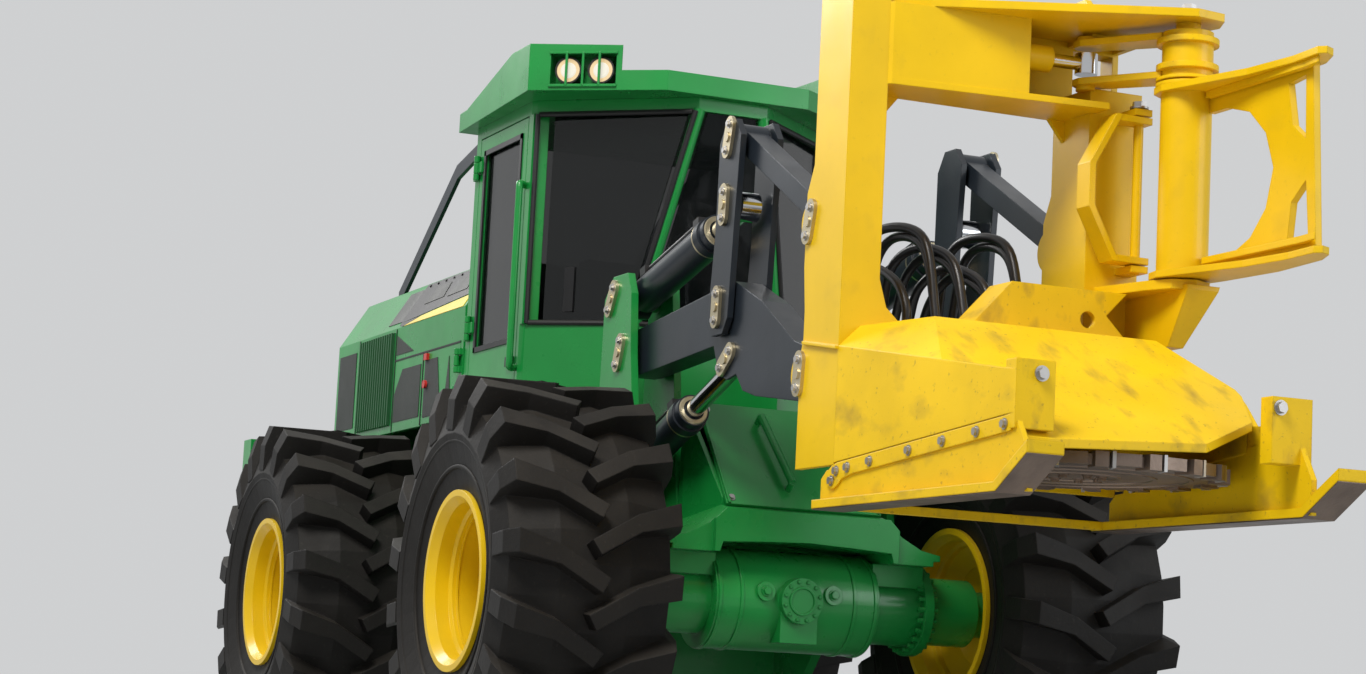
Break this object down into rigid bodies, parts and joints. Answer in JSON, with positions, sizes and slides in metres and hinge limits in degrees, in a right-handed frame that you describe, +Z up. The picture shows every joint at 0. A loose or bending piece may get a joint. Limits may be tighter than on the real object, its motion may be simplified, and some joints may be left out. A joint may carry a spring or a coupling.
{
  "type": "wheeled feller buncher",
  "caption": "Articulated wheeled feller buncher with a disc saw felling head on lift arms, a cab and engine on the rear frame, and lugged forestry tyres.",
  "frame": {"origin": "centre of the footprint of the whole machine, on the ground", "axes": "+X forward, +Y to the machine's left, +Z up"},
  "size_m": [7.47, 2.888, 3.24],
  "materials": {
    "tyre_rubber": "matte, dusty",
    "yellow_rim": "semi-gloss",
    "green_paint": "gloss",
    "dark_paint": "satin",
    "head_yellow": "gloss, scratched",
    "worn_steel": "worn",
    "rod_chrome": "polished",
    "tinted_glass": "tinted",
    "lamp_glass": "lit",
    "dark_green_screen": "satin",
    "engine_iron": "plain",
    "seat_fabric": "woven"
  },
  "bodies": {
    "rear": {"rear_frame": "green_paint", "rear_axle": "green_paint", "cab_frame": "green_paint", "cab_roof": "green_paint", "cab_glass": "tinted_glass", "cab_seat": "seat_fabric", "roof_lamps": "lamp_glass", "hood": "green_paint", "side_screens": "dark_green_screen", "bumper": "green_paint", "engine": "engine_iron", "limb_risers": "dark_paint"},
    "centre_link": {"centre_link": "green_paint"},
    "front": {"front_frame": "green_paint", "front_axle": "green_paint", "front_cover": "green_paint"},
    "wheel_front_right": {"rim_front_right": "yellow_rim", "tyre_front_right": "tyre_rubber"},
    "wheel_front_left": {"rim_front_left": "yellow_rim", "tyre_front_left": "tyre_rubber"},
    "wheel_rear_right": {"rim_rear_right": "yellow_rim", "tyre_rear_right": "tyre_rubber"},
    "wheel_rear_left": {"rim_rear_left": "yellow_rim", "tyre_rear_left": "tyre_rubber"},
    "lift_arm": {"lift_arm": "dark_paint"},
    "crank": {"crank": "dark_paint"},
    "tilt_link": {"tilt_link": "dark_paint"},
    "tilt_barrels": {"tilt_barrels": "dark_paint"},
    "tilt_rods": {"tilt_rods": "rod_chrome"},
    "lift_barrels": {"lift_barrels": "dark_paint"},
    "lift_rods": {"lift_rods": "rod_chrome"},
    "head": {"head_frame": "head_yellow", "head_base": "head_yellow"},
    "saw_disc": {"saw_disc": "worn_steel"},
    "harvest_arm": {"harvest_arm": "head_yellow"},
    "holding_arm": {"holding_arm": "head_yellow"},
    "cab_door": {"cab_door": "green_paint", "door_glass": "tinted_glass"},
    "arm_rod": {"arm_rod": "rod_chrome"},
    "engine_door_right": {"engine_door_right": "green_paint"},
    "engine_door_left": {"engine_door_left": "green_paint"},
    "steer_barrel_left": {"steer_barrel_left": "dark_paint"},
    "steer_barrel_right": {"steer_barrel_right": "dark_paint"},
    "steer_rod_left": {"steer_rod_left": "rod_chrome"},
    "steer_rod_right": {"steer_rod_right": "rod_chrome"}
  },
  "joints": [
    {"name": "oscillation", "type": "hinge", "parent": "rear", "child": "centre_link", "pos_m": [-1.355, 0, 0.81], "axis": [1, 0, 0], "range_deg": [-10, 10]},
    {"name": "articulation", "type": "hinge", "parent": "centre_link", "child": "front", "pos_m": [-0.815, 0, 0.81], "axis": [0, 0, 1], "range_deg": [-40, 40]},
    {"name": "spin_front_right", "type": "hinge", "parent": "front", "child": "wheel_front_right", "pos_m": [0.645, -1.087, 0.81], "axis": [0, 1, 0], "continuous": true},
    {"name": "spin_front_left", "type": "hinge", "parent": "front", "child": "wheel_front_left", "pos_m": [0.645, 1.087, 0.81], "axis": [0, 1, 0], "continuous": true},
    {"name": "spin_rear_right", "type": "hinge", "parent": "rear", "child": "wheel_rear_right", "pos_m": [-2.275, -1.087, 0.81], "axis": [0, 1, 0], "continuous": true},
    {"name": "spin_rear_left", "type": "hinge", "parent": "rear", "child": "wheel_rear_left", "pos_m": [-2.275, 1.087, 0.81], "axis": [0, 1, 0], "continuous": true},
    {"name": "lift", "type": "hinge", "parent": "front", "child": "lift_arm", "pos_m": [0.263, 0, 1.816], "axis": [0, -1, 0], "range_deg": [-38, 18]},
    {"name": "head_tilt", "type": "hinge", "parent": "lift_arm", "child": "head", "pos_m": [2.041, 0, 1.574], "axis": [0, 1, 0], "range_deg": [-28, 45]},
    {"name": "crank_turn", "type": "hinge", "parent": "lift_arm", "child": "crank", "pos_m": [1.205, 0, 1.909], "axis": [0, 1, 0], "range_deg": [-24.07, 38.08]},
    {"name": "link_turn", "type": "hinge", "parent": "crank", "child": "tilt_link", "pos_m": [1.25, 0, 2.572], "axis": [0, -1, 0], "range_deg": [-24.07, 38.08]},
    {"name": "tilt_barrel_turn", "type": "hinge", "parent": "front", "child": "tilt_barrels", "pos_m": [0.149, 0, 2.056], "axis": [0, -1, 0], "range_deg": [-37.1, 18.1]},
    {"name": "tilt_rod_slide", "type": "slide", "parent": "tilt_barrels", "child": "tilt_rods", "axis": [0.9737, 0, 0.2279], "range_m": [-0.1419, 0.2221]},
    {"name": "lift_barrel_turn", "type": "hinge", "parent": "front", "child": "lift_barrels", "pos_m": [0.085, 0, 1.29], "axis": [0, -1, 0], "range_deg": [-29.88, 14.68]},
    {"name": "lift_rod_slide", "type": "slide", "parent": "lift_barrels", "child": "lift_rods", "axis": [0.9419, 0, 0.3359], "range_m": [-0.3217, 0.1577]},
    {"name": "saw_spin", "type": "hinge", "parent": "head", "child": "saw_disc", "pos_m": [2.935, 0, 1.222], "axis": [0, 0, 1], "continuous": true},
    {"name": "harvest_swing", "type": "hinge", "parent": "head", "child": "harvest_arm", "pos_m": [2.645, 0.6, 2.3], "axis": [0, 0, -1], "range_deg": [0, 75]},
    {"name": "holding_swing", "type": "hinge", "parent": "head", "child": "holding_arm", "pos_m": [2.425, 0.54, 2.3], "axis": [0, 0, 1], "range_deg": [0, 60]},
    {"name": "arm_rod_slide", "type": "slide", "parent": "head", "child": "arm_rod", "axis": [0.0428, 0.9991, 0], "range_m": [-0.005, 0.4904]},
    {"name": "cab_door_swing", "type": "hinge", "parent": "rear", "child": "cab_door", "pos_m": [-1.282, -0.768, 2.1], "axis": [0, 0, -1], "range_deg": [0, 80]},
    {"name": "engine_door_swing_right", "type": "hinge", "parent": "rear", "child": "engine_door_right", "pos_m": [-1.412, -0.768, 1.83], "axis": [0, 0, 1], "range_deg": [0, 80]},
    {"name": "engine_door_swing_left", "type": "hinge", "parent": "rear", "child": "engine_door_left", "pos_m": [-1.412, 0.768, 1.83], "axis": [0, 0, -1], "range_deg": [0, 80]},
    {"name": "steer_barrel_turn_left", "type": "hinge", "parent": "centre_link", "child": "steer_barrel_left", "pos_m": [-1.205, 0.3, 0.47], "axis": [0, 0, 1], "range_deg": [-22.32, 22.32]},
    {"name": "steer_rod_slide_left", "type": "slide", "parent": "steer_barrel_left", "child": "steer_rod_left", "axis": [0.9999, -0.0118, 0], "range_m": [-0.2118, 0.2118]},
    {"name": "steer_barrel_turn_right", "type": "hinge", "parent": "centre_link", "child": "steer_barrel_right", "pos_m": [-1.205, -0.3, 0.47], "axis": [0, 0, 1], "range_deg": [-22.32, 22.32]},
    {"name": "steer_rod_slide_right", "type": "slide", "parent": "steer_barrel_right", "child": "steer_rod_right", "axis": [0.9999, 0.0118, 0], "range_m": [-0.2118, 0.2118]}
  ],
  "couplings": [
    {"joint": "crank_turn", "follows": "head_tilt", "ratio": 0.824},
    {"joint": "link_turn", "follows": "head_tilt", "ratio": 0.824},
    {"joint": "tilt_rod_slide", "follows": "head_tilt", "m_per_rad": 0.27},
    {"joint": "tilt_barrel_turn", "follows": "lift", "ratio": 0.95},
    {"joint": "lift_barrel_turn", "follows": "lift", "ratio": 0.76},
    {"joint": "lift_rod_slide", "follows": "lift", "m_per_rad": 0.47},
    {"joint": "arm_rod_slide", "follows": "harvest_swing", "m_per_rad": 0.367},
    {"joint": "steer_barrel_turn_left", "follows": "articulation", "ratio": 0.533},
    {"joint": "steer_rod_slide_left", "follows": "articulation", "m_per_rad": -0.289},
    {"joint": "steer_barrel_turn_right", "follows": "articulation", "ratio": 0.533},
    {"joint": "steer_rod_slide_right", "follows": "articulation", "m_per_rad": 0.289}
  ]
}
